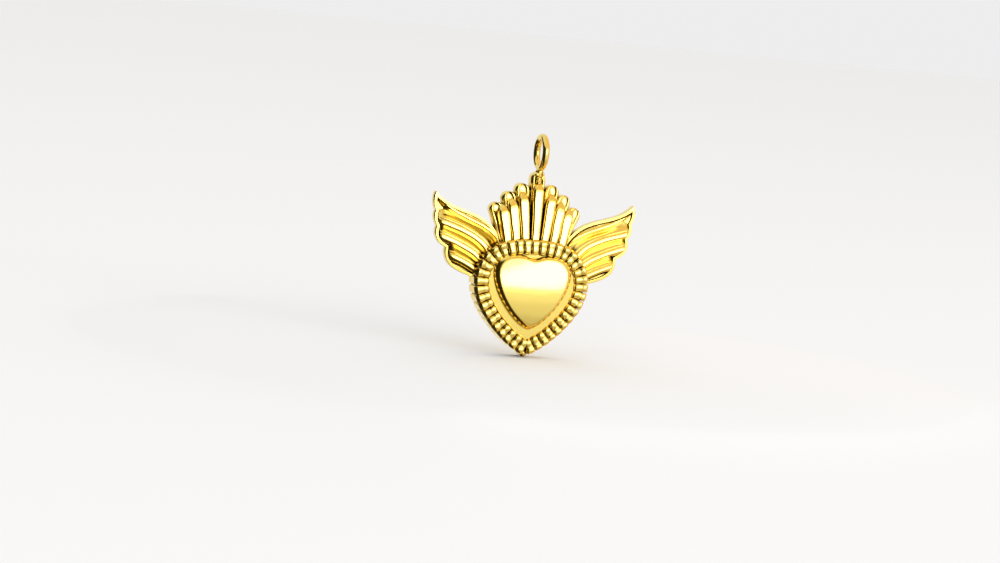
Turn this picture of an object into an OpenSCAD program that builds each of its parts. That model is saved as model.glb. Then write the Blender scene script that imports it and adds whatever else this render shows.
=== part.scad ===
// A sacred heart pendant: a cast relief with a plain back, and a wire ring soldered on a
// neck at its top. Lengths are in millimetres. The modules of the casting draw it lying on
// its back: X is to the right, Y is up from the lowest rays and Z is the height above the
// back. The last step stands it up, with its face to -Y and the ring's middle at the origin.

/* [Heart] */
// Width of the raised heart at its foot
heart_w = 7.85; // [7.3:0.05:8.1]
// Height of the raised heart, from its point to the top of its lobes
heart_h = 7.3; // [6.9:0.05:7.4]
// Height of the heart's point above the lowest rays' ends
heart_y = 2.6; // [2.4:0.05:2.8]
// How far the notch between the lobes goes down
heart_notch = 0.3; // [0.1:0.02:0.6]
// Height of the heart's crown above the back
heart_crown = 3.0; // [2.8:0.05:3.4]
// Share of the heart's width that its domed face takes, inside the wall that rolls over into it
heart_face = 0.855; // [0.8:0.005:0.92]
// How far the dome of the face falls from its crown to the heart's sides
heart_bulge = 0.4; // [0.2:0.01:0.5]
// Height of the border round the heart above the back
border_t = 1.95; // [1.7:0.05:2.1]

/* [Rays] */
// Number of rays round the border
ray_count = 39; // [31:2:45]
// Width of the ray band's middle line, from side to side
band_w = 10.0; // [9.6:0.1:10.4]
// Height of the ray band's middle line, from its lowest point to its top
band_h = 9.85; // [9.6:0.05:10.2]
// Length of a ray, from the border to its outer end
ray_len = 1.55; // [1.4:0.05:1.8]
// Width of a ray at its outer end
ray_w = 0.82; // [0.7:0.02:0.92]
// Height of the rays above the back
ray_t = 2.35; // [2.15:0.05:2.5]
// How far the rays fall towards the border
ray_fall = 0.1; // [0.02:0.02:0.2]
// Height of the floor between the rays above the back
valley_t = 1.25; // [1.05:0.05:1.4]
// How far the bead at the lower tip reaches below the rays
bead_drop = 0.16; // [0.1:0.02:0.3]
// Width of this bead
bead_w = 0.8; // [0.7:0.02:0.96]

/* [Flames] */
// Number of flames on each side of the middle one
flame_pairs = 3; // [2:1:3]
// Height of the middle flame above the rays
flame_h = 5.75; // [5.2:0.05:6.4]
// Width of the fan of flames between the tips of its outer lobes
fan_w = 8.4; // [7.8:0.1:9]
// How much lower than the middle flame the outer lobes end
fan_drop = 2.6; // [2.2:0.05:3]
// Lean of the outer flames in degrees
fan_lean = 30; // [20:1:40]
// Width of the lobe that stands behind each flame
lobe_w = 1.45; // [1.3:0.05:1.7]
// Height of the lobes above the back
lobe_t = 1.15; // [0.9:0.05:1.3]
// How much lower each lobe stands than the one nearer the middle
lobe_step = 0.03; // [0:0.01:0.05]
// Width of a flame's ridge near its tip
flame_w = 1.16; // [0.9:0.02:1.3]
// Height of the flames' ridges above the back
flame_t = 2.05; // [1.8:0.05:2.3]
// How much lower each flame's ridge stands than the one nearer the middle
flame_step = 0.02; // [0:0.01:0.05]
// How far a flame's ridge falls from its root to its tip
flame_arch = 0.35; // [0.1:0.05:0.5]
// How far the middle flame's ridge ends below the top of its fan
flame_gap = 0.22; // [0.14:0.02:0.3]
// How far the flames' roots reach down behind the rays
flame_root = 0.7; // [0.5:0.05:1]

/* [Wings] */
// Width of the pendant from wing to wing
wing_span = 20.5; // [19.5:0.1:22]
// Height of a wing from its lowest feather to its tip
wing_h = 8.2; // [7.8:0.1:8.6]
// Height of a wing's lower end above the lowest rays' ends
wing_y = 7.1; // [6.9:0.05:7.3]
// Width of a feather's ridge
feather_w = 1.44; // [1.2:0.02:1.5]
// Height of a feather's ridge above the back
feather_t = 1.45; // [1.2:0.05:1.7]
// Thickness of the wing's plate, from which the feathers rise
wing_t = 0.75; // [0.5:0.05:0.9]

/* [Ring] */
// Outer diameter of the wire ring
ring_od = 3.7; // [3.2:0.1:5]
// Diameter of its wire
wire_d = 0.68; // [0.6:0.02:0.8]
// Open seam between the wire's ends
ring_seam = 0.07; // [0.03:0.01:0.15]
// Diameter of the neck where the ring is soldered to it
neck_d = 0.78; // [0.74:0.02:1.1]
// Length of the neck between the middle flame and the ring
neck_h = 0.75; // [0.5:0.05:1.2]
// Height of the ring's middle above the back
ring_z = 1.05; // [0.9:0.05:1.2]
// How deep the wire sits in the neck
seat_depth = 0.12; // [0.08:0.01:0.16]
// Layer of solder between the neck's seat and the wire
solder_gap = 0.02; // [0.01:0.01:0.04]

/* [Hidden] */

// Steps in one stretch of an outline
curve_steps = 12;
// Section of a bar across its width: place from -1 to 1, and height from 0 to 1
bar_form = [[-1, 0], [-0.92, 0.48], [-0.61, 0.87], [0, 1], [0.61, 0.87], [0.92, 0.48], [1, 0]];
// Section of a feather from its lower edge to its upper one: a steep wall, a crest, a fine
// groove, and a long gentle fall that goes under the feather above
feather_form = [[-1, 0], [-0.88, 0.5], [-0.68, 0.86], [-0.4, 1], [-0.1, 0.94],
    [0.14, 0.76], [0.24, 0.64], [0.36, 0.7], [0.7, 0.54], [1.12, 0.26]];

// Places on the plan, and heights above the back
band_base = ray_len / 2 + 0.05;
band_side = 0.63;      // share of the band's height at which it is widest
heart_side = 0.76;     // share of the heart's height at which it is widest
heart_crest = 0.425;   // share of the heart's height at which its face is highest
lobe_x = 0.42;         // share of the heart's half width at which a lobe is highest
plate_edge = 0.05;     // how far a ridge's sides stand above the plate that carries it
sunk = 0.35;           // height of a ridge's foot, hidden in the plate
fan_y = band_base + band_h + ray_len / 2;   // top of the rays, where the flames come out
tip_y = fan_y + flame_h;
ring_r = (ring_od - wire_d) / 2;
ring_y = tip_y + neck_h + ring_od / 2;
ring_space = 0.05;     // space between the middle lobe and the ring

function mirror_x(points) = [for (p = points) [-p.x, p.y]];
function backwards(points) = [for (i = [len(points) - 1 : -1 : 0]) points[i]];
function mix(a, b, t) = a + (b - a) * t;
function unit(v) = v / norm(v);
function left_of(v) = [-v.y, v.x];

// A point of the curve with four control points
function bezier(c, t) =
    c[0] * pow(1 - t, 3) + 3 * c[1] * t * pow(1 - t, 2) + 3 * c[2] * t * t * (1 - t) + c[3] * pow(t, 3);

// A line of points through several curves, each of which starts where the last one ends
function smooth_line(curves, steps) = concat(
    [for (c = curves) for (i = [0 : steps - 1]) bezier(c, i / steps)],
    [curves[len(curves) - 1][3]]);

// Distance along a line of points, at each point
function runs(line) = [
    for (i = 0, run = 0; i < len(line);
        i = i + 1, run = i < len(line) ? run + norm(line[i] - line[i - 1]) : run) run
];

// The point at a share of a line's whole length
function along(line, share) =
    let (run = runs(line), want = share * run[len(run) - 1])
    [for (k = [0, 1]) lookup(want, [for (i = [0 : len(line) - 1]) [run[i], line[i][k]]])];

// The way a line runs at a share of its length
function heading(line, share) =
    unit(along(line, min(share + 0.01, 1)) - along(line, max(share - 0.01, 0)));

// Right half of the ray band's middle line, from its top down to its lowest point
band_line = let (
    top = [0, band_base + band_h],
    side = [band_w / 2, band_base + band_h * band_side],
    low = [0, band_base])
    smooth_line([
        [top, top + [band_w * 0.32, 0.1], side + [0, band_h * 0.26], side],
        [side, side - [0, band_h * 0.27], low + [band_w * 0.135, band_h * 0.045], low]], 2 * curve_steps);

// Right half of the raised heart's foot, from the notch down to the point
heart_line = let (
    lobe = [heart_w / 2 * lobe_x, heart_y + heart_h],
    notch = [0, heart_y + heart_h - heart_notch],
    side = [heart_w / 2, heart_y + heart_h * heart_side],
    point = [0, heart_y])
    smooth_line([
        [notch, notch + [lobe.x * 0.35, 0], lobe - [lobe.x * 0.5, 0], lobe],
        [lobe, lobe + [heart_w * 0.17, 0], side + [0, heart_h * 0.15], side],
        [side, side - [0, heart_h * 0.31], point + [heart_w * 0.18, heart_h * 0.04], point]],
        curve_steps / 2);

// The band's middle line moved sideways by d, outwards if d is positive
function band_edge(d) = [
    for (i = [0 : 2 * curve_steps])
        let (s = i / (2 * curve_steps))
        along(band_line, s) + left_of(heading(band_line, s)) * d
];

function closed(half) = concat(half, backwards(mirror_x(half)));

// The section of a ridge at a station, which is [place on the plan, heading, half width,
// edge height, ridge height, height of its foot]
function ridge_section(s, form) =
    let (side = left_of(s[1]) * s[2],
         right_foot = s[0] + side * form[0][0],
         left_foot = s[0] + side * form[len(form) - 1][0])
    concat(
        [[right_foot.x, right_foot.y, s[5]]],
        [for (f = form) let (p = s[0] + side * f[0]) [p.x, p.y, mix(s[3], s[4], f[1])]],
        [[left_foot.x, left_foot.y, s[5]]]);

module ridge(stations, form) {
    n = len(form) + 2;
    last = len(stations) - 1;
    points = [for (s = stations) each ridge_section(s, form)];
    sides = [for (k = [0 : last - 1]) for (i = [0 : n - 1])
        [k * n + i, k * n + (i + 1) % n, (k + 1) * n + (i + 1) % n, (k + 1) * n + i]];
    ends = [[for (i = [n - 1 : -1 : 0]) i], [for (i = [0 : n - 1]) last * n + i]];
    polyhedron(points, concat(sides, ends));
}

// Stations of a ridge along a curve. Its top falls by arch on the way to the tip, and over
// the last tip_len the tip is round on the plan and rolls down.
function ridge_stations(curve, root_w, full_w, tip_len, edge_t, top_t, arch, foot, steps) =
    let (line = smooth_line([curve], curve_steps),
         body = 1 - tip_len / runs(line)[curve_steps],
         low = mix(foot, edge_t, 0.5))
    concat(
        [for (i = [0 : steps])
            let (t = i / steps, s = body * t)
            [along(line, s), heading(line, s), mix(root_w, full_w, t), edge_t, top_t - arch * t * t, foot]],
        [for (a = [28, 52, 70, 84])
            let (s = mix(body, 1, sin(a)), c = cos(a), edge = mix(low, edge_t, c))
            [along(line, s), heading(line, s), full_w * c, edge, mix(edge, top_t - arch, c), foot]]);

// Height of the heart's dome above the back, at a place on the plan
function dome(x, y) = heart_crown - heart_bulge
    * (pow(2 * x / heart_w, 2) + pow(2 * (y - heart_y) / heart_h - 2 * heart_crest, 2));

// The raised heart: a wall that rolls over into a domed face. Each ring of points is the
// outline drawn in towards the middle, given as [share of its size, share of the rise].
module heart() {
    middle = heart_y + heart_h * 0.58;
    outline = closed(heart_line);
    n = len(outline);
    wall = [for (a = [0 : 22.5 : 90]) [1 - (1 - heart_face) * (1 - cos(a)), sin(a)]];
    face = [for (s = [0.8, 0.6, 0.4, 0.2]) [heart_face * s, 1]];
    rings = concat(wall, face);
    points = concat(
        [for (p = outline) [p.x, p.y, sunk]],
        [for (g = rings) for (p = outline)
            let (x = p.x * g[0], y = mix(middle, p.y, g[0])) [x, y, mix(border_t, dome(x, y), g[1])]],
        [[0, middle, dome(0, middle)]]);
    last = len(rings) * n;
    polyhedron(points, concat(
        [[for (i = [n - 1 : -1 : 0]) i]],
        [for (k = [0 : len(rings) - 1]) for (i = [0 : n - 1])
            [k * n + i, k * n + (i + 1) % n, (k + 1) * n + (i + 1) % n, (k + 1) * n + i]],
        [for (i = [0 : n - 1]) [last + i, last + (i + 1) % n, len(points) - 1]]));
}

// The flat border round the heart, and the floor between the rays
module border() {
    linear_extrude(border_t) polygon(closed(band_edge(0.1 - ray_len / 2)));
    linear_extrude(valley_t) polygon(closed(band_edge(ray_len / 2 - ray_w * 0.3)));
}

// One ray: a round-topped bar with a shallow waist, broader and higher at its outer end, which
// goes down to the back. Each step is [place along it, share of its width, depth below its top].
module ray() {
    steps = [[-1, 0.5, 0.34], [-0.8, 0.74, 0.04], [-0.35, 0.8, 0], [0.05, 0.8, 0.07],
        [0.45, 0.94, 0], [0.84, 0.9, 0.08], [1, 0.62, 0.4]];
    ridge([for (s = steps)
        let (half = ray_w / 2 * s[1], top = ray_t - s[2] - ray_fall * (1 - s[0]) / 2)
        [[s[0] * ray_len / 2, 0], [1, 0], half, top - half, top, 0]], bar_form);
}

module rays() {
    for (k = [0 : ray_count - 1]) {
        turn = k / ray_count;
        side = turn <= 0.5 ? 1 : -1;
        share = 2 * min(turn, 1 - turn);
        place = along(band_line, share);
        way = k == 0 ? [0, 1] : left_of(heading(band_line, share));
        translate([place.x * side, place.y]) rotate(atan2(way.y, way.x * side)) ray();
    }
}

// The bead that joins the two lowest rays at the lower tip
module tip_bead() {
    r = bead_w / 2;
    translate([0, r - bead_drop, 0]) {
        cylinder(r = r, h = valley_t, $fn = 16);
        translate([0, 0, valley_t]) sphere(r, $fn = 16);
    }
}

// The flames: a fan of lobes at the back, with a ridge on each that stops short of its end.
// The middle lobe is drawn out to the ring, and out is 0 at the middle and 1 at the sides.
module flames() {
    half = fan_w / 2;
    root_y = fan_y - flame_root;
    side_y = tip_y - 1.23 * fan_drop;
    linear_extrude(wing_t) polygon([[-0.76 * half, root_y], [0.76 * half, root_y],
        [0.95 * half, side_y], [0, tip_y - lobe_w / 2], [-0.95 * half, side_y]]);
    for (k = [-flame_pairs : flame_pairs]) {
        out = abs(k) / 3;
        side = k < 0 ? -1 : 1;
        rise = k == 0 ? neck_h - ring_space : 0;
        root = [0.62 * half * out, root_y - 0.4 * out];
        back = [sin(fan_lean * out), cos(fan_lean * out)] * 1.8 * lobe_w / 2;
        lobe_tip = [half * pow(out, 0.88), tip_y + rise - fan_drop * pow(out, 1.5)];
        ridge_tip = [0.86 * half * pow(out, 0.78), tip_y - flame_gap - 0.94 * fan_drop * pow(out, 0.76)];
        low = [for (p = [root, mix(root, lobe_tip, 0.4), lobe_tip - back, lobe_tip]) [p.x * side, p.y]];
        high = [for (p = [root, mix(root, ridge_tip, 0.4), ridge_tip - back, ridge_tip]) [p.x * side, p.y]];
        ridge(ridge_stations(low, lobe_w * 0.4, lobe_w / 2, lobe_w / 2, wing_t, lobe_t - lobe_step * abs(k), 0, 0, 4),
            bar_form);
        ridge(ridge_stations(high, flame_w * 0.38, flame_w / 2, flame_w / 2, wing_t + plate_edge,
            flame_t - flame_step * abs(k), flame_arch, sunk, 4), bar_form);
    }
}

// A place on the wing, in hundredths of its half span and of its height
function on_wing(x, y) = [x / 100 * wing_span / 2, wing_y + y / 100 * wing_h];

// The right wing: a plate with a scalloped end, and four feathers that stop short of its rim,
// each with its steep edge on the next one. After a feather's curve come its width as a share
// of feather_w, and the length of its tip as a share of its width.
module wing() {
    edge = [
        [on_wing(29.5, 42.5), on_wing(46, 89.5), on_wing(78, 72), on_wing(98, 100)],
        [on_wing(98, 100), on_wing(100.3, 95), on_wing(100.3, 84), on_wing(97, 77.5)],
        [on_wing(97, 77.5), on_wing(99, 70.5), on_wing(97, 63.5), on_wing(94.5, 59)],
        [on_wing(94.5, 59), on_wing(97, 50), on_wing(94, 39), on_wing(84.5, 35)],
        [on_wing(84.5, 35), on_wing(85.5, 14.5), on_wing(76, 7.5), on_wing(49, 0)]];
    feathers = [
        [[on_wing(33, 46.5), on_wing(45, 70.5), on_wing(78, 68.5), on_wing(97.8, 97)], 0.7, 2.5],
        [[on_wing(43, 33), on_wing(52.5, 53), on_wing(78, 61), on_wing(94, 66.5)], 0.97, 0.93],
        [[on_wing(47, 18.5), on_wing(55.5, 34.5), on_wing(75, 42), on_wing(92.3, 49.5)], 0.93, 0.88],
        [[on_wing(49, 8), on_wing(57.5, 16), on_wing(71, 22), on_wing(81.2, 27.5)], 0.84, 1]];
    linear_extrude(wing_t) polygon(smooth_line(edge, curve_steps));
    for (f = feathers) {
        w = feather_w * f[1];
        ridge(ridge_stations(f[0], w * 0.46, w / 2, w * f[2], wing_t + plate_edge, feather_t, 0, sunk, 6),
            feather_form);
    }
}

// The neck, with a seat for the ring's wire
module neck() {
    difference() {
        translate([0, tip_y - lobe_w / 2, ring_z]) rotate([-90, 0, 0])
            cylinder(d1 = neck_d * 1.2, d2 = neck_d, h = lobe_w / 2 + neck_h + seat_depth, $fn = 16);
        translate([0, ring_y, ring_z]) rotate([0, 90, 0])
            rotate_extrude($fn = 64) translate([ring_r, 0]) circle(d = wire_d + 2 * solder_gap, $fn = 16);
    }
}

module pendant_body() {
    color("gold") translate([0, ring_z, -ring_y]) rotate([90, 0, 0]) union() {
        heart();
        border();
        rays();
        tip_bead();
        flames();
        wing();
        mirror([1, 0, 0]) wing();
        neck();
    }
}

module hanging_ring() {
    seam_angle = ring_seam / ring_r * 180 / PI;
    seam_at = 8;           // how far the seam lies above the middle of the ring's back
    color("gold") rotate([0, 90, 0]) rotate(90 + seam_at + seam_angle / 2)
        rotate_extrude(angle = 360 - seam_angle, $fn = 96) translate([ring_r, 0])
            circle(d = wire_d, $fn = 32);
}

pendant_body();
hanging_ring();
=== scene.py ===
import math

import bpy
from mathutils import Matrix, Vector, noise


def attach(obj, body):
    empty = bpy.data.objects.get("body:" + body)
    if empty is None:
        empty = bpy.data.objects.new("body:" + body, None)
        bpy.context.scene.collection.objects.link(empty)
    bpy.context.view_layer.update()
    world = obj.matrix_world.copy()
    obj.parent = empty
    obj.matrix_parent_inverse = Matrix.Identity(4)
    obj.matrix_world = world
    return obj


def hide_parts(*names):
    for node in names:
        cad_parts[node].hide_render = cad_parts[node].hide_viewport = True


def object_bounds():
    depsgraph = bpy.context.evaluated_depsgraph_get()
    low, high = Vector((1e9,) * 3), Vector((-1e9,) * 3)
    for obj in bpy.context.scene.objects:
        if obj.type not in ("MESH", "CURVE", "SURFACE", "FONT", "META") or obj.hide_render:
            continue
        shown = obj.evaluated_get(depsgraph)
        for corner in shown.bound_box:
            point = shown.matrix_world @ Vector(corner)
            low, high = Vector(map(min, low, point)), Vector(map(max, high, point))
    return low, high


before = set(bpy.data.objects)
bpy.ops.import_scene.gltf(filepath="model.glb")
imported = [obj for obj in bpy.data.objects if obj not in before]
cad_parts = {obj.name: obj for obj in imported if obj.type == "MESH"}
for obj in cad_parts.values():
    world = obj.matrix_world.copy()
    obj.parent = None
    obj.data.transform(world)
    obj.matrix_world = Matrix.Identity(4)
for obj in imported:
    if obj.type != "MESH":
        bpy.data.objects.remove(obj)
cad_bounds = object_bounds()

# The casting is drawn lying on its back, in millimetres: X is to the right, Y is up from the
# lowest rays and Z is the height above the back. STAND_UP sets it upright, with the middle of
# the hanging ring at the origin.
MM = 0.001
RING_Y = 19.8
RING_Z = 1.05
STAND_UP = (Matrix.Scale(MM, 4) @ Matrix.Translation((0, RING_Z, -RING_Y))
            @ Matrix.Rotation(math.radians(90), 4, "X"))

# Heart
HEART_W, HEART_H, HEART_Y = 7.85, 7.3, 2.6
HEART_CROWN, HEART_BULGE, HEART_FACE, HEART_NOTCH = 3.0, 0.4, 0.855, 0.3
HEART_SIDE, HEART_CREST, HEART_MIDDLE = 0.76, 0.425, 0.58       # shares of the heart's height
FACE_RINGS = (0.97, 0.92, 0.85, 0.76, 0.66, 0.55, 0.44, 0.33, 0.22, 0.11, 0.03)    # shares of the face
WALL_STEPS = 12
BORDER_T = 1.95
# Rays
RAY_COUNT, RAY_LEN, RAY_W, RAY_T = 39, 1.55, 0.82, 2.35
TOP_SHARE = 0.2                      # rays nearer to the top than this share of a side are plain bars
TOP_FALL, SIDE_FALL = -0.12, 0.1     # fall of a ray's top towards its inner end
SIDE_DIP, DIP_AT, DIP_WIDE = 0.06, 0.05, 0.22
BAND_W, BAND_H, BAND_Y, BAND_SIDE = 10.0, 9.85, RAY_LEN / 2 + 0.05, 0.63
VALLEY_T = 1.25
BEAD_DROP, BEAD_W = 0.16, 0.8
# Flames
FAN_Y = BAND_Y + BAND_H + RAY_LEN / 2
TIP_Y = FAN_Y + 5.75
FAN_W, FAN_DROP, FAN_LEAN, FLAME_ROOT = 8.4, 2.6, 30, 0.7
LOBE_W, LOBE_T, LOBE_STEP = 1.45, 1.15, 0.03
FLAME_W, FLAME_T, FLAME_STEP, FLAME_ARCH, FLAME_GAP = 1.16, 2.05, 0.02, 0.35, 0.22
FLAMES_A_SIDE = 3
FLAME_POWER, LOBE_ROLL = 4.5, 0.3      # how flat a flame's section and a lobe's end are
PLATE_FOOT, PLATE_SIDE, PLATE_DROP = 0.76, 0.95, 1.23      # the fan's plate, in shares of the fan
# Wings
WING_SPAN, WING_H, WING_Y, WING_T = 20.5, 8.2, 7.1, 0.75
FEATHER_W, FEATHER_T = 1.44, 1.45
PLATE_EDGE = 0.05      # how far a ridge's sides stand above the plate that carries it
SUNK = 0.35            # height of a ridge's foot, hidden in the plate
# Ring and neck
RING_OD, WIRE_D, RING_SEAM, NECK_D, NECK_H, SEAT_DEPTH = 3.7, 0.68, 0.07, 0.78, 0.75, 0.12
SEAM_TURN = 8          # degrees by which the seam lies above the ring's middle, at the back
SEAM_SOLDER = 0.78     # the solder in the seam, as a share of the wire's width
NECK_SUNK = 1.3        # how far the neck's pointed foot runs down into the middle flame
NECK_POINT = 0.15      # the foot's radius, as a share of the neck's width
NECK_ROUND = 0.17      # rounding of the neck's top under the ring
# Unevenness of each kind of piece: how far its surface strays, and over what length
HAND_DEPTH, RAY_GRAIN, FLAME_GRAIN, FEATHER_GRAIN = 0.035, 0.9, 1.1, 1.3
NECK_DEPTH, NECK_GRAIN, LUMP_DEPTH, LUMP_GRAIN = 0.05, 0.3, 0.06, 0.25
# Blender seeds this noise from the clock unless it is set, and the casting would differ each run
noise.seed_set(1)


def clear_selection():
    if bpy.context.object and bpy.context.object.mode != "OBJECT":
        bpy.ops.object.mode_set(mode="OBJECT")
    bpy.ops.object.select_all(action="DESELECT")


def make_active(obj):
    clear_selection()
    obj.select_set(True)
    bpy.context.view_layer.objects.active = obj


def apply_modifier(obj, kind, **settings):
    make_active(obj)
    modifier = obj.modifiers.new(kind.lower(), kind)
    for key, value in settings.items():
        setattr(modifier, key, value)
    bpy.ops.object.modifier_apply(modifier=modifier.name)


def face_outwards(obj):
    make_active(obj)
    bpy.ops.object.mode_set(mode="EDIT")
    bpy.ops.mesh.select_all(action="SELECT")
    bpy.ops.mesh.normals_make_consistent(inside=False)
    bpy.ops.object.mode_set(mode="OBJECT")


def link_mesh(name, points, faces):
    mesh = bpy.data.meshes.new(name)
    mesh.from_pydata(points, [], faces)
    obj = bpy.data.objects.new(name, mesh)
    bpy.context.collection.objects.link(obj)
    return obj


def hand_finish(obj, depth, grain):
    """Moves each point a little by smooth noise, as a model cut by hand is never quite even."""
    for v in obj.data.vertices:
        v.co += noise.noise_vector(v.co / grain) * depth


def bezier(c, t):
    a, b = 1 - t, t
    return c[0] * a ** 3 + c[1] * (3 * a * a * b) + c[2] * (3 * a * b * b) + c[3] * b ** 3


def smooth_line(curves, steps):
    line = [bezier(c, i / steps) for c in curves for i in range(steps)]
    return line + [curves[-1][3]]


class Path:
    """A line of plan points that gives its place and heading at a share of its length."""

    def __init__(self, curves, steps=60):
        self.points = smooth_line([[Vector(p) for p in c] for c in curves], steps)
        self.runs = [0.0]
        for a, b in zip(self.points, self.points[1:]):
            self.runs.append(self.runs[-1] + (b - a).length)
        self.length = self.runs[-1]

    def place(self, share):
        want = min(max(share, 0), 1) * self.length
        for i in range(1, len(self.runs)):
            if self.runs[i] >= want:
                span = self.runs[i] - self.runs[i - 1]
                return self.points[i - 1].lerp(self.points[i], (want - self.runs[i - 1]) / span)
        return self.points[-1].copy()

    def heading(self, share):
        return (self.place(share + 0.01) - self.place(share - 0.01)).normalized()


def left_of(v):
    return Vector((-v.y, v.x))


def mix(a, b, t):
    return a + (b - a) * t


def skin(name, rings):
    """A closed mesh through rings of points that all have the same number of points."""
    n = len(rings[0])
    points = [p for ring in rings for p in ring]
    faces = [[k * n + i, k * n + (i + 1) % n, (k + 1) * n + (i + 1) % n, (k + 1) * n + i]
             for k in range(len(rings) - 1) for i in range(n)]
    faces.append(list(range(n - 1, -1, -1)))
    faces.append([(len(rings) - 1) * n + i for i in range(n)])
    obj = link_mesh(name, points, faces)
    face_outwards(obj)
    return obj


def plate(name, outline, high):
    """A flat plate on the back plane, extruded from its outline."""
    obj = link_mesh(name, [(p.x, p.y, 0) for p in outline], [list(range(len(outline)))])
    make_active(obj)
    bpy.ops.object.mode_set(mode="EDIT")
    bpy.ops.mesh.select_all(action="SELECT")
    bpy.ops.mesh.extrude_region_move(TRANSFORM_OT_translate={"value": (0, 0, high)})
    bpy.ops.object.mode_set(mode="OBJECT")
    face_outwards(obj)
    return obj


def superellipse(power):
    """The section of a bar: its height from 0 to 1 at u, from -1 to 1 across it."""
    return lambda u: max(0.0, 1 - abs(u) ** power) ** (1 / power)


def smooth_form(form):
    """A section that runs smoothly through a few points of [place across, height]."""
    def section(u):
        k = max(i for i in range(len(form) - 1) if form[i][0] <= u or i == 0)
        (u0, h0), (u1, h1) = form[k], form[k + 1]
        before, after = form[max(k - 1, 0)], form[min(k + 2, len(form) - 1)]
        t, span = (u - u0) / (u1 - u0), u1 - u0
        m0 = (h1 - before[1]) / (u1 - before[0]) * span
        m1 = (after[1] - h0) / (after[0] - u0) * span
        a, b = t * t * (3 - 2 * t), t * (1 - t)
        return mix(h0, h1, a) + b * ((1 - t) * m0 - t * m1)
    return section


def ridge(name, curve, root_w, full_w, tip_len, edge_t, top_t, section, arch=0.0, foot=0.0, reach=1.0,
          longer=0.0, roll=1.0):
    """A ridge along a curve on the plan. Its top falls by arch towards the tip, which is round on
    the plan and rolls down. The section may reach past the left side's edge, and the ridge may run
    longer than its curve. A small roll keeps the tip flat almost to its end."""
    curves = [[Vector(p) for p in curve]]
    if longer:
        end, way = curves[0][3], (curves[0][3] - curves[0][2]).normalized() * longer
        curves.append([end, end + way / 3, end + way * 2 / 3, end + way])
    path = Path(curves)
    body = 1 - tip_len / path.length
    steps, tip_steps, across_steps = 30, 12, 30
    stations = [(body * i / steps, 1.0, i / steps) for i in range(steps + 1)]
    stations += [(mix(body, 1, math.sin(a)), math.cos(a), 1.0)
                 for a in (math.radians(86) * (i + 1) / tip_steps for i in range(tip_steps))]
    low = mix(foot, edge_t, 0.5)
    across = [mix(-1, reach, (1 - math.cos(math.pi * i / across_steps)) / 2) for i in range(across_steps + 1)]
    rings = []
    for share, close, t in stations:
        at, side = path.place(share), left_of(path.heading(share)) * mix(root_w, full_w, t) * close
        edge = mix(low, edge_t, close)
        top = mix(edge, top_t - arch * t ** 1.2, close ** roll)
        ring = [Vector((*(at - side), foot))]
        ring += [Vector((*(at + side * u), mix(edge, top, section(u)))) for u in across]
        ring.append(Vector((*(at + side * reach), foot)))
        rings.append(ring)
    return skin(name, rings)


def mirrored(line):
    return line + [Vector((-p.x, p.y)) for p in reversed(line[1:-1])]


BAND_TOP = Vector((0, BAND_Y + BAND_H))
BAND_WIDE = Vector((BAND_W / 2, BAND_Y + BAND_H * BAND_SIDE))
BAND_LOW = Vector((0, BAND_Y))
# The middle line of the rays, from the top round the right side to the lower tip
band = Path([
    [BAND_TOP, BAND_TOP + Vector((BAND_W * 0.32, 0.1)), BAND_WIDE + Vector((0, BAND_H * 0.26)), BAND_WIDE],
    [BAND_WIDE, BAND_WIDE - Vector((0, BAND_H * 0.27)),
     BAND_LOW + Vector((BAND_W * 0.135, BAND_H * 0.045)), BAND_LOW]])


def band_edge(d, steps=64):
    """The closed outline at a distance d outwards from the rays' middle line."""
    line = [band.place(i / steps) + left_of(band.heading(i / steps)) * d for i in range(steps + 1)]
    line[0].x = 0
    line[-1].x = 0
    return mirrored(line)


def dome(x, y):
    """Height of the heart's dome above the back."""
    across = 2 * x / HEART_W
    up = 2 * (y - HEART_Y) / HEART_H - 2 * HEART_CREST
    return HEART_CROWN - HEART_BULGE * (across ** 2 + up ** 2)


def make_heart():
    """The raised heart: a wall that rolls over into a domed face, drawn in towards the middle."""
    lobe = Vector((HEART_W / 2 * 0.42, HEART_Y + HEART_H))
    notch = Vector((0, HEART_Y + HEART_H - HEART_NOTCH))
    side = Vector((HEART_W / 2, HEART_Y + HEART_H * HEART_SIDE))
    point = Vector((0, HEART_Y))
    half = smooth_line([
        [notch, notch + Vector((lobe.x * 0.35, 0)), lobe - Vector((lobe.x * 0.5, 0)), lobe],
        [lobe, lobe + Vector((HEART_W * 0.17, 0)), side + Vector((0, HEART_H * 0.15)), side],
        [side, side - Vector((0, HEART_H * 0.31)),
         point + Vector((HEART_W * 0.18, HEART_H * 0.04)), point]], 30)
    outline = mirrored(half)
    middle = Vector((0, HEART_Y + HEART_H * HEART_MIDDLE))
    wall = [math.radians(90) * i / WALL_STEPS for i in range(WALL_STEPS + 1)]
    levels = [(1 - (1 - HEART_FACE) * (1 - math.cos(a)), math.sin(a)) for a in wall]
    levels += [(HEART_FACE * s, 1) for s in FACE_RINGS]
    rings = [[Vector((p.x, p.y, SUNK)) for p in outline]]
    for share, rise in levels:
        ring = [middle.lerp(p, share) for p in outline]
        rings.append([Vector((q.x, q.y, mix(BORDER_T, dome(q.x, q.y), rise))) for q in ring])
    return skin("heart", rings)


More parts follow.
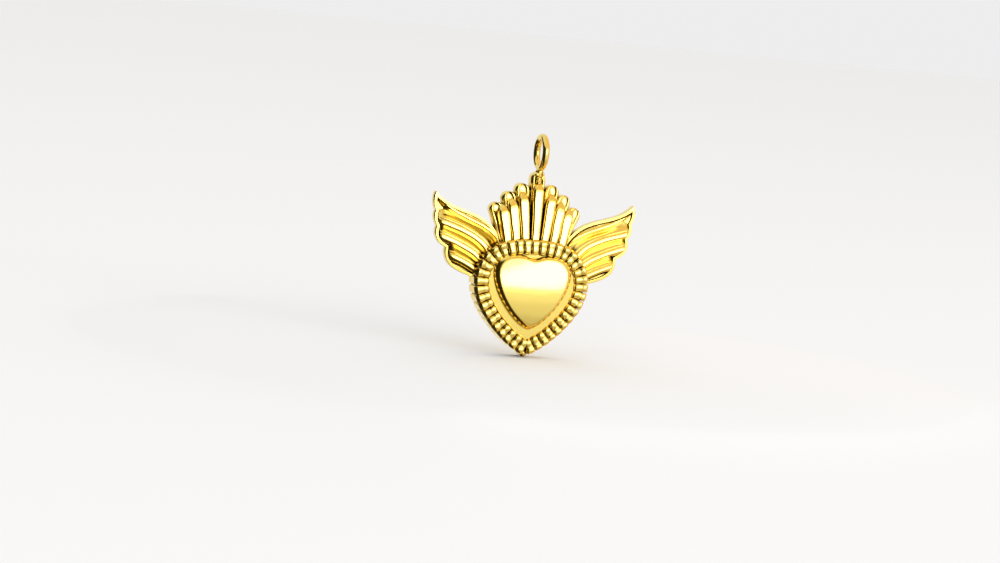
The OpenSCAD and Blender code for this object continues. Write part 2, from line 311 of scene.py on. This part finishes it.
# A ray's width and its depth below the top, at places from its inner end at -1 to its outer end
RAY_WIDTHS = [(-1, 0.6), (-0.86, 0.76), (-0.5, 0.8), (0.05, 0.84), (0.5, 0.94), (0.84, 0.96), (1, 0.7)]
RAY_DEPTHS = [(-1, 0.36), (-0.84, 0.08), (-0.4, 0), (0.05, 0.03), (0.45, 0), (0.82, 0.08), (1, 0.42)]
RAY_ROUND = 0.55       # height of the rounding on a ray's top, as a share of half its width
RAY_PLACES = (-1, -0.96, -0.88, -0.78, -0.6, -0.35, -0.12, 0.05, 0.22, 0.4, 0.58, 0.74, 0.86, 0.94, 0.98, 1)


def make_ray(dip, fall):
    """One ray along X, drawn out of a round bar with straight sides. Its top may dip halfway."""
    width, depth = smooth_form(RAY_WIDTHS), smooth_form(RAY_DEPTHS)
    steps = []
    for p in RAY_PLACES:
        low = depth(p) + dip * math.exp(-((p - DIP_AT) / DIP_WIDE) ** 2)
        steps.append((p * RAY_LEN / 2, RAY_W / 2 * width(p), RAY_T - low - fall * (1 - p) / 2))
    clear_selection()
    x, w, h = steps[0]
    first = steps[1][0] - x
    bpy.ops.mesh.primitive_cylinder_add(vertices=24, radius=w, depth=first, rotation=(0, math.radians(90), 0),
                                        location=(x + first / 2, 0, h - w * RAY_ROUND))
    obj = bpy.context.object
    bpy.ops.object.transform_apply(location=True, rotation=True, scale=True)
    bpy.ops.object.mode_set(mode="EDIT")
    bpy.ops.mesh.select_all(action="SELECT")
    side_h = h - w * RAY_ROUND
    bpy.ops.transform.resize(value=(1, 1, RAY_ROUND), center_override=(0, 0, side_h))
    bpy.ops.mesh.bisect(plane_co=(0, 0, side_h), plane_no=(0, 0, 1), clear_inner=True)
    bpy.ops.mesh.select_all(action="DESELECT")
    bpy.ops.mesh.select_non_manifold()
    bpy.ops.mesh.extrude_region_move(TRANSFORM_OT_translate={"value": (0, 0, -side_h)})
    bpy.ops.mesh.edge_face_add()
    bpy.ops.mesh.select_all(action="DESELECT")
    bpy.ops.object.mode_set(mode="OBJECT")
    for face in obj.data.polygons:
        face.select = face.normal.x > 0.9
    bpy.ops.object.mode_set(mode="EDIT")
    for (x0, w0, h0), (x1, w1, h1) in zip(steps, steps[1:]):
        if x1 > steps[1][0]:
            bpy.ops.mesh.extrude_region_move(TRANSFORM_OT_translate={"value": (x1 - x0, 0, 0)})
        bpy.ops.transform.resize(value=(1, w1 / w0, h1 / h0), center_override=(x1, 0, 0))
    bpy.ops.object.mode_set(mode="OBJECT")
    face_outwards(obj)
    return obj


def make_rays():
    """The rays round the band. Those at the top are plain bars, and those at the sides are dipped."""
    plain, dipped = make_ray(0.0, TOP_FALL), make_ray(SIDE_DIP, SIDE_FALL)
    rays = []
    for k in range(RAY_COUNT):
        turn = k / RAY_COUNT
        side = 1 if turn <= 0.5 else -1
        share = 2 * min(turn, 1 - turn)
        at = band.place(share)
        way = left_of(band.heading(share)) if k else Vector((0, 1))
        kind = plain if share < TOP_SHARE else dipped
        ray = bpy.data.objects.new(f"ray_{k}", kind.data.copy())
        bpy.context.collection.objects.link(ray)
        place = Matrix.Translation((at.x * side, at.y, 0))
        ray.data.transform(place @ Matrix.Rotation(math.atan2(way.y, way.x * side), 4, "Z"))
        hand_finish(ray, HAND_DEPTH, RAY_GRAIN)
        rays.append(ray)
    bpy.data.objects.remove(plain)
    bpy.data.objects.remove(dipped)
    return rays


def make_tip_bead():
    """The bead that joins the two lowest rays."""
    clear_selection()
    r = BEAD_W / 2
    bpy.ops.mesh.primitive_uv_sphere_add(segments=32, ring_count=16, radius=r,
                                         location=(0, r - BEAD_DROP, VALLEY_T))
    obj = bpy.context.object
    bpy.ops.object.transform_apply(location=True, rotation=False, scale=False)
    bpy.ops.object.mode_set(mode="EDIT")
    bpy.ops.mesh.select_all(action="DESELECT")
    bpy.ops.object.mode_set(mode="OBJECT")
    for face in obj.data.polygons:
        face.select = face.normal.z < 0
    bpy.ops.object.mode_set(mode="EDIT")
    bpy.ops.transform.resize(value=(1, 1, 0), center_override=(0, 0, VALLEY_T))
    bpy.ops.transform.translate(value=(0, 0, -VALLEY_T))
    bpy.ops.object.mode_set(mode="OBJECT")
    return [obj]


# Section of a lobe: a rounded rim with a shallow hollow inside it
LOBE_FORM = [(-1, 0), (-0.95, 0.5), (-0.82, 0.9), (-0.62, 1), (-0.42, 0.8), (0, 0.66),
             (0.42, 0.8), (0.62, 1), (0.82, 0.9), (0.95, 0.5), (1, 0)]


def make_flames():
    """The fan: a lobe behind each flame, and on it the flame's ridge, which stops short of it."""
    half = FAN_W / 2
    root_y = FAN_Y - FLAME_ROOT
    side_y = TIP_Y - PLATE_DROP * FAN_DROP
    fan = [(-PLATE_FOOT * half, root_y), (PLATE_FOOT * half, root_y), (PLATE_SIDE * half, side_y),
           (0, TIP_Y - LOBE_W / 2), (-PLATE_SIDE * half, side_y)]
    pieces = [plate("fan_plate", [Vector(p) for p in fan], WING_T)]
    for k in range(-FLAMES_A_SIDE, FLAMES_A_SIDE + 1):
        out = abs(k) / FLAMES_A_SIDE
        side = -1 if k < 0 else 1
        lean = math.radians(FAN_LEAN * out)
        back = Vector((math.sin(lean), math.cos(lean))) * 1.8 * LOBE_W / 2
        rise = 0 if k else NECK_H - 0.05
        root = Vector((0.62 * half * out, root_y - 0.4 * out))
        lobe_tip = Vector((half * out ** 0.88, TIP_Y + rise - FAN_DROP * out ** 1.5))
        ridge_tip = Vector((0.86 * half * out ** 0.78, TIP_Y - FLAME_GAP - 0.94 * FAN_DROP * out ** 0.76))
        low = [root, root.lerp(lobe_tip, 0.4), lobe_tip - back, lobe_tip]
        high = [root, root.lerp(ridge_tip, 0.4), ridge_tip - back, ridge_tip]
        low = [Vector((p.x * side, p.y)) for p in low]
        high = [Vector((p.x * side, p.y)) for p in high]
        pieces.append(ridge(f"lobe_{k + FLAMES_A_SIDE}", low, LOBE_W * 0.4, LOBE_W / 2, LOBE_W / 2, WING_T,
                            LOBE_T - LOBE_STEP * abs(k), smooth_form(LOBE_FORM), roll=LOBE_ROLL))
        pieces.append(ridge(f"flame_{k + FLAMES_A_SIDE}", high, FLAME_W * 0.38, FLAME_W / 2, FLAME_W * 1.1,
                            WING_T + PLATE_EDGE, FLAME_T - FLAME_STEP * abs(k), superellipse(FLAME_POWER),
                            arch=FLAME_ARCH, foot=SUNK))
    for piece in pieces[1:]:
        hand_finish(piece, HAND_DEPTH, FLAME_GRAIN)
    return pieces


# Curves on the wing, in hundredths of the half span and of the wing's height
WING_EDGE = [
    [(29.5, 42.5), (46, 89.5), (78, 72), (98, 100)],
    [(98, 100), (100.3, 95), (100.3, 84), (97, 77.5)],
    [(97, 77.5), (99, 70.5), (97, 63.5), (94.5, 59)],
    [(94.5, 59), (97, 50), (94, 39), (84.5, 35)],
    [(84.5, 35), (85.5, 14.5), (76, 7.5), (49, 0)]]
# Each feather's curve, its width as a share of FEATHER_W, and its tip's length in shares of that
FEATHERS = [
    ([(33, 46.5), (45, 70.5), (78, 68.5), (97.8, 97)], 0.7, 2.5),
    ([(43, 33), (52.5, 53), (78, 61), (94, 66.5)], 0.97, 0.93),
    ([(47, 18.5), (55.5, 34.5), (75, 42), (92.3, 49.5)], 0.93, 0.88),
    ([(49, 8), (57.5, 16), (71, 22), (81.2, 27.5)], 0.84, 1.0)]
# Section of a feather from its lower edge to its upper one: a sloping wall, a crest, a fine groove
# and a long gentle fall that goes under the feather above
FEATHER_FORM = [(-1, 0), (-0.9, 0.22), (-0.78, 0.42), (-0.6, 0.68), (-0.44, 0.9), (-0.3, 0.985), (-0.15, 1),
                (0.15, 0.95), (0.32, 0.89), (0.42, 0.74), (0.55, 0.72), (0.85, 0.55), (1.2, 0.34), (1.9, 0.1)]
FEATHER_LONGER = 0.55      # how far the lower feathers run past their curves, to the rim
# Bead round the wing, the plate inside it and the groove between the bead and the feathers
RIM_W, RIM_T, RIM_ROUND, RIM_FLOOR, RIM_GAP = 0.3, 0.95, 0.13, 0.6, 0.05
CUTTER_T = 3               # taller than anything on the wing


def drawn_in(outline, d):
    """A closed outline moved inwards by d. Points that come nearer to it than that are left out."""
    n = len(outline)
    area = sum(a.x * b.y - b.x * a.y for a, b in zip(outline, outline[1:] + outline[:1]))
    inward = 1 if area > 0 else -1
    line = []
    for i, p in enumerate(outline):
        way = (outline[(i + 1) % n] - outline[i - 1]).normalized()
        q = p + left_of(way) * d * inward
        away = min((q - a.lerp(b, min(max((q - a).dot(b - a) / (b - a).length_squared, 0), 1))).length
                   for a, b in zip(outline, outline[1:] + outline[:1]))
        if away > d * 0.97:
            line.append(q)
    return line


def rimmed_plate(name, outline):
    """A plate with a rounded bead along its edge, and a prism of all that lies inside the bead."""
    rim = plate(name, outline, RIM_T)
    hollow = plate(name + "_hollow", drawn_in(outline, RIM_W), CUTTER_T)
    hollow.data.transform(Matrix.Translation((0, 0, RIM_FLOOR)))
    apply_modifier(rim, "BOOLEAN", operation="DIFFERENCE", solver="MANIFOLD", object=hollow)
    bpy.data.objects.remove(hollow)
    apply_modifier(rim, "BEVEL", width=RIM_ROUND, segments=5, limit_method="ANGLE",
                   angle_limit=math.radians(60))
    return rim, plate(name + "_inside", drawn_in(outline, RIM_W + RIM_GAP), CUTTER_T)


def make_wing(side):
    """A wing, whose side is 1 for the right one and -1 for the left one."""
    def on_wing(curve):
        return [Vector((x / 100 * WING_SPAN / 2, WING_Y + y / 100 * WING_H)) for x, y in curve]

    outline = smooth_line([on_wing(c) for c in WING_EDGE], 20)
    rim, inside = rimmed_plate(f"wing_plate_{side}", outline)
    pieces = [rim]
    for i, (curve, share, tip) in enumerate(FEATHERS):
        w = FEATHER_W * share
        pieces.append(ridge(f"feather_{side}_{i}", on_wing(curve), w * 0.46, w / 2, w * tip,
                            RIM_FLOOR + PLATE_EDGE, FEATHER_T, smooth_form(FEATHER_FORM),
                            foot=SUNK, reach=FEATHER_FORM[-1][0], longer=FEATHER_LONGER if i else 0))
        apply_modifier(pieces[-1], "BOOLEAN", operation="INTERSECT", solver="MANIFOLD", object=inside)
    bpy.data.objects.remove(inside)
    for piece in pieces:
        if side < 0:
            piece.data.transform(Matrix.Scale(-1, 4, (1, 0, 0)))
            face_outwards(piece)
        if piece is not pieces[0]:
            hand_finish(piece, HAND_DEPTH, FEATHER_GRAIN)
    return pieces


# Middle of each lump of solder: to the right, above the ring's lowest point, to the front, and
# its radius
SOLDER_LUMPS = [(-0.3, -0.3, 0.2, 0.24), (0.28, -0.22, 0.22, 0.2), (-0.12, -0.75, 0.28, 0.26),
                (0.2, -0.62, 0.3, 0.2), (0.0, -0.1, -0.3, 0.24)]


def make_neck():
    """The neck under the ring, with the lumps that the solder left round the joint."""
    clear_selection()
    low = TIP_Y - NECK_SUNK
    high = RING_Y - RING_OD / 2 + SEAT_DEPTH
    bpy.ops.mesh.primitive_cone_add(vertices=32, radius1=NECK_D * NECK_POINT, radius2=NECK_D / 2,
                                    depth=high - low, location=(0, (low + high) / 2, RING_Z),
                                    rotation=(math.radians(-90), 0, 0))
    neck = bpy.context.object
    bpy.ops.object.transform_apply(location=True, rotation=True, scale=True)
    apply_modifier(neck, "BEVEL", width=NECK_ROUND, segments=4, limit_method="ANGLE",
                   angle_limit=math.radians(50))
    bpy.ops.object.mode_set(mode="EDIT")
    bpy.ops.mesh.select_all(action="SELECT")
    bpy.ops.mesh.subdivide(number_cuts=4)
    bpy.ops.object.mode_set(mode="OBJECT")
    hand_finish(neck, NECK_DEPTH, NECK_GRAIN)
    pieces = [neck]
    for x, y, z, r in SOLDER_LUMPS:
        clear_selection()
        bpy.ops.mesh.primitive_ico_sphere_add(subdivisions=4, radius=r,
                                              location=(x, RING_Y - RING_OD / 2 + y, RING_Z + z))
        lump = bpy.context.object
        bpy.ops.object.transform_apply(location=True, rotation=False, scale=False)
        hand_finish(lump, LUMP_DEPTH, LUMP_GRAIN)
        pieces.append(lump)
    return pieces



def make_body():
    """All pieces of the casting, joined to one closed mesh and stood upright."""
    pieces = [make_heart()]
    pieces.append(plate("border", band_edge(0.1 - RAY_LEN / 2), BORDER_T))
    pieces.append(plate("valley", band_edge(RAY_LEN / 2 - RAY_W * 0.3), VALLEY_T))
    pieces += make_flames() + make_wing(1) + make_wing(-1) + make_rays() + make_tip_bead() + make_neck()
    body = pieces[0]
    body.name = "cast_relief"
    group = bpy.data.collections.new("casting_pieces")
    bpy.context.scene.collection.children.link(group)
    for piece in pieces[1:]:
        group.objects.link(piece)
    apply_modifier(body, "BOOLEAN", operation="UNION", solver="MANIFOLD", operand_type="COLLECTION",
                   collection=group)
    for piece in pieces[1:]:
        bpy.data.objects.remove(piece)
    bpy.data.collections.remove(group)
    body.data.transform(STAND_UP)
    make_active(body)
    bpy.ops.object.shade_smooth_by_angle(angle=math.radians(38))
    apply_modifier(body, "WEIGHTED_NORMAL", keep_sharp=True)
    return body


def solder_seam(ring, middle):
    """Solder between the wire's ends, a little below its surface, so that the seam is a groove."""
    clear_selection()
    bpy.ops.mesh.primitive_cylinder_add(vertices=40, radius=WIRE_D / 2 * SEAM_SOLDER, depth=RING_SEAM * 2,
                                        location=middle, rotation=(math.atan2(middle.z, middle.y), 0, 0))
    solder = bpy.context.object
    apply_modifier(ring, "BOOLEAN", operation="UNION", solver="MANIFOLD", object=solder)
    bpy.data.objects.remove(solder)


def make_ring():
    """Round wire bent to a ring, whose ends meet at a seam on the side away from the viewer."""
    ring_r = (RING_OD - WIRE_D) / 2
    seam = RING_SEAM / ring_r
    clear_selection()
    bpy.ops.mesh.primitive_circle_add(vertices=40, radius=WIRE_D / 2, location=(0, ring_r, 0),
                                      fill_type="NOTHING")
    ring = bpy.context.object
    ring.name = "ring_wire"
    bpy.ops.object.transform_apply(location=True, rotation=False, scale=False)
    bpy.ops.object.mode_set(mode="EDIT")
    bpy.ops.mesh.select_all(action="SELECT")
    bpy.ops.mesh.spin(steps=144, angle=2 * math.pi - seam, center=(0, 0, 0), axis=(1, 0, 0))
    bpy.ops.mesh.select_all(action="DESELECT")
    bpy.ops.mesh.select_non_manifold()
    bpy.ops.object.mode_set(mode="OBJECT")
    ends = [v.co.copy() for v in ring.data.vertices if v.select]
    bpy.ops.object.mode_set(mode="EDIT")
    bpy.ops.mesh.edge_face_add()
    bpy.ops.object.mode_set(mode="OBJECT")
    face_outwards(ring)
    solder_seam(ring, sum(ends, Vector()) / len(ends))
    ring.data.transform(Matrix.Scale(MM, 4) @ Matrix.Rotation(math.radians(SEAM_TURN) + seam / 2, 4, "X"))
    make_active(ring)
    bpy.ops.object.shade_smooth_by_angle(angle=math.radians(40))
    return ring


def srgb(hexcode):
    """A hex colour as the linear colour that a shader takes."""
    parts = [int(hexcode[i:i + 2], 16) / 255 for i in (0, 2, 4)]
    return tuple(c / 12.92 if c <= 0.04045 else ((c + 0.055) / 1.055) ** 2.4 for c in parts) + (1.0,)


def add_node(tree, kind, settings=None, inputs=None, links=()):
    node = tree.nodes.new(kind)
    for key, value in (settings or {}).items():
        setattr(node, key, value)
    for key, value in (inputs or {}).items():
        node.inputs[key].default_value = value
    for source, key in links:
        tree.links.new(source, node.inputs[key])
    return node


# Marks on the metal in millimetres: width and height of the waves on the casting, spacing and
# depth of the lines on the wire; and how near other metal must be for the painted shade to darken a hollow
CAST_WAVE, CAST_WAVE_H = 0.9, 0.06
DRAWN_LINE, DRAWN_LINE_H = 0.09, 0.008
PAINTED_SHADE_REACH = 0.5
BAND_AT_ONE = 0.314        # width of one band of the wave texture at a scale of 1


def casting_marks(tree, place):
    """The soft unevenness of a casting polished by hand. It makes the edges of reflections waver."""
    wave = add_node(tree, "ShaderNodeTexNoise", inputs={"Scale": 1 / (CAST_WAVE * MM), "Detail": 3.0},
                    links=[(place, "Vector")])
    return add_node(tree, "ShaderNodeBump", inputs={"Strength": 0.12, "Distance": CAST_WAVE_H * MM},
                    links=[(wave.outputs["Fac"], "Height")])


def drawing_marks(tree, place):
    """Lines along the wire from the plate it was drawn through. They streak its highlight. The real
    ones are a few hundredths of a millimetre apart, and these are coarser so that they show."""
    lines = add_node(tree, "ShaderNodeTexWave", {"wave_type": "RINGS", "rings_direction": "X"},
                     {"Scale": BAND_AT_ONE / (DRAWN_LINE * MM), "Distortion": 2.5, "Detail": 2.0},
                     [(place, "Vector")])
    return add_node(tree, "ShaderNodeBump", inputs={"Strength": 0.1, "Distance": DRAWN_LINE_H * MM},
                    links=[(lines.outputs["Fac"], "Height")])


def gold_plate(name, marks, roughness):
    """Bright yellow gold plate, with the marks that the metal below it had from its making, and painted shade
    darkening its hollows.
    """
    material = bpy.data.materials.new(name)
    material.use_nodes = True
    tree = material.node_tree
    tree.nodes.clear()
    place = add_node(tree, "ShaderNodeTexCoord")
    bump = marks(tree, place.outputs["Object"])
    # Painted shade: occlusion darkens the gold to dark brown in corners and hollows near other metal, so the
    # relief reads sharply
    hollow = add_node(tree, "ShaderNodeAmbientOcclusion", {"samples": 6}, {"Distance": PAINTED_SHADE_REACH * MM})
    shade = add_node(tree, "ShaderNodeMapRange", None,
                     {"From Min": 0.15, "From Max": 0.62, "To Min": 0.0, "To Max": 1.0},
                     [(hollow.outputs["AO"], "Value")])
    # Dark brown painted shade, mixed into the gold where the occlusion is strong
    painted_shade_tint = add_node(tree, "ShaderNodeMix", {"data_type": "RGBA"}, {6: srgb("3A1E04"), 7: srgb("FDDF78")},
                    [(shade.outputs["Result"], "Factor")])
    shader = add_node(tree, "ShaderNodeBsdfPrincipled", inputs={"Metallic": 1.0, "Roughness": roughness},
                      links=[(bump.outputs["Normal"], "Normal"), (painted_shade_tint.outputs[2], "Base Color")])
    add_node(tree, "ShaderNodeOutputMaterial", links=[(shader.outputs["BSDF"], "Surface")])
    return material


def direction(azimuth, elevation):
    a, e = math.radians(azimuth), math.radians(elevation)
    return Vector((math.sin(a) * math.cos(e), -math.cos(a) * math.cos(e), math.sin(e)))


FLOOR_Z = cad_bounds[0][2]
MIDDLE = Vector((0, 0, -9.5 * MM))
CARD_DISTANCE, CARD_STEPS = 45 * MM, 16
SOFTBOX_DISTANCE, SOFTBOX_ROLL = 1.0, 17
TENT_LEVEL, TENT_SEEN = 0.9, 0.852


def plain_material(name, colour, roughness):
    material = bpy.data.materials.new(name)
    material.use_nodes = True
    shader = material.node_tree.nodes["Principled BSDF"]
    shader.inputs["Base Color"].default_value = srgb(colour)
    shader.inputs["Roughness"].default_value = roughness
    return material


def make_floor():
    clear_selection()
    bpy.ops.mesh.primitive_circle_add(vertices=96, radius=3.0, fill_type="NGON", location=(0, 0, FLOOR_Z))
    floor = bpy.context.object
    floor.name = "pale_floor"
    # Uncoated paper is matt: it shows the shadow and no reflection
    floor.data.materials.append(plain_material("pale_paper", "F8F7F6", 0.9))
    floor.visible_glossy = False    # the metal shows the cards below it in its place


def add_card(name, az0, az1, el0, el1, radiance):
    """A curved card near the pendant, seen only in its polished metal."""
    points = []
    for i in range(CARD_STEPS + 1):
        for k in range(CARD_STEPS + 1):
            way = direction(mix(az0, az1, i / CARD_STEPS), mix(el0, el1, k / CARD_STEPS))
            points.append(MIDDLE + way * CARD_DISTANCE)
    n = CARD_STEPS + 1
    faces = [[i * n + k, (i + 1) * n + k, (i + 1) * n + k + 1, i * n + k + 1]
             for i in range(CARD_STEPS) for k in range(CARD_STEPS)]
    card = link_mesh(name, points, faces)
    material = bpy.data.materials.new(name)
    material.use_nodes = True
    tree = material.node_tree
    tree.nodes.clear()
    glow = add_node(tree, "ShaderNodeEmission", inputs={"Color": (*radiance, 1.0), "Strength": 1.0})
    add_node(tree, "ShaderNodeOutputMaterial", links=[(glow.outputs["Emission"], "Surface")])
    card.data.materials.append(material)
    card.visible_camera = card.visible_diffuse = card.visible_shadow = False


def add_softbox(name, azimuth, elevation, size, radiance):
    """A soft lamp that faces the pendant."""
    light = bpy.data.lights.new(name, "AREA")
    light.shape = "RECTANGLE"
    light.size, light.size_y = size
    light.energy = radiance * math.pi * size[0] * size[1]
    lamp = bpy.data.objects.new(name, light)
    bpy.context.collection.objects.link(lamp)
    lamp.location = MIDDLE + direction(azimuth, elevation) * SOFTBOX_DISTANCE
    facing = direction(azimuth, elevation).to_track_quat("Z", "Y").to_matrix()
    lamp.rotation_euler = (facing @ Matrix.Rotation(math.radians(SOFTBOX_ROLL), 3, "Z")).to_euler()
    lamp.visible_camera = False


def make_lights():
    add_softbox("key_softbox", 20, 8.5, (0.92, 0.37), 4.2)
    add_softbox("upper_softbox", 20, 26, (0.92, 0.22), 1.3)
    # Dark on the left and below it, warm above and on the right, and grey in front, darker in
    # steps towards the floor
    add_card("left_card", -22, -150, -45, 42, (0.03, 0.022, 0.012))
    add_card("low_left_card", -180, -10, -89, -45, (0.05, 0.035, 0.02))
    add_card("low_right_card", -10, 180, -89, -45, (0.72, 0.52, 0.3))
    for top, glow in ((-3, 0.96), (-13, 0.82), (-24, 0.64), (-34, 0.45)):
        add_card(f"front_card_{-top}", -24, 70, top - 11, top, (glow, glow, glow * 0.96))
    add_card("upper_card", -24, 150, 36, 89, (0.88, 0.7, 0.46))
    add_card("right_card", 70, 150, -45, 36, (0.85, 0.62, 0.4))
    world = bpy.data.worlds.new("light_tent")
    bpy.context.scene.world = world
    world.use_nodes = True
    tree = world.node_tree
    back = tree.nodes["Background"]
    back.inputs["Color"].default_value = (1, 1, 1, 1)
    # Where it is seen, the tent has the tone of the floor far away, so no horizon shows
    path = add_node(tree, "ShaderNodeLightPath")
    seen = path.outputs["Is Camera Ray"]
    for kind in ("Is Glossy Ray", "Is Transmission Ray"):
        seen = add_node(tree, "ShaderNodeMath", {"operation": "ADD", "use_clamp": True}, None,
                        [(seen, 0), (path.outputs[kind], 1)]).outputs[0]
    level = add_node(tree, "ShaderNodeMapRange", None, {"To Min": TENT_LEVEL, "To Max": TENT_SEEN},
                     [(seen, "Value")])
    tree.links.new(level.outputs["Result"], back.inputs["Strength"])


def make_camera():
    """The photograph's view: from the left and a little above, with a slight roll."""
    azimuth, elevation, roll = -16.4, 5.2, math.radians(5.5)
    distance, focal_px = 0.3, 3088.0
    target = Vector((0, 0, -10.3 * MM))
    target_px = Vector((531.2, 258.1))
    photo_size = (1000, 563)
    back = direction(azimuth, elevation)
    level_right = Vector((math.cos(math.radians(azimuth)), math.sin(math.radians(azimuth)), 0))
    level_up = back.cross(level_right)
    right = level_right * math.cos(roll) + level_up * math.sin(roll)
    up = level_up * math.cos(roll) - level_right * math.sin(roll)
    off = target_px - Vector(photo_size) / 2
    aim = target + (right * -off.x + up * off.y) * distance / focal_px
    data = bpy.data.cameras.new("photo_camera")
    data.sensor_width = 36.0
    data.lens = focal_px * data.sensor_width / photo_size[0]
    data.clip_start, data.clip_end = 0.01, 20
    camera = bpy.data.objects.new("photo_camera", data)
    bpy.context.collection.objects.link(camera)
    turn = Matrix((right, up, back)).transposed().to_4x4()
    camera.matrix_world = Matrix.Translation(aim + back * distance) @ turn
    bpy.context.scene.camera = camera


make_camera()
body = make_body()
body.data.materials.clear()
body.data.materials.append(gold_plate("gold_plated_casting_polished", casting_marks, 0.15))
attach(body, "root")
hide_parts("pendant_body")
ring = make_ring()
ring.data.materials.clear()
ring.data.materials.append(gold_plate("gold_plated_wire_drawn", drawing_marks, 0.17))
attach(ring, "root")
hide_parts("hanging_ring")
make_floor()
make_lights()
bpy.context.scene.view_settings.view_transform = "Standard"
bpy.context.view_layer.update()
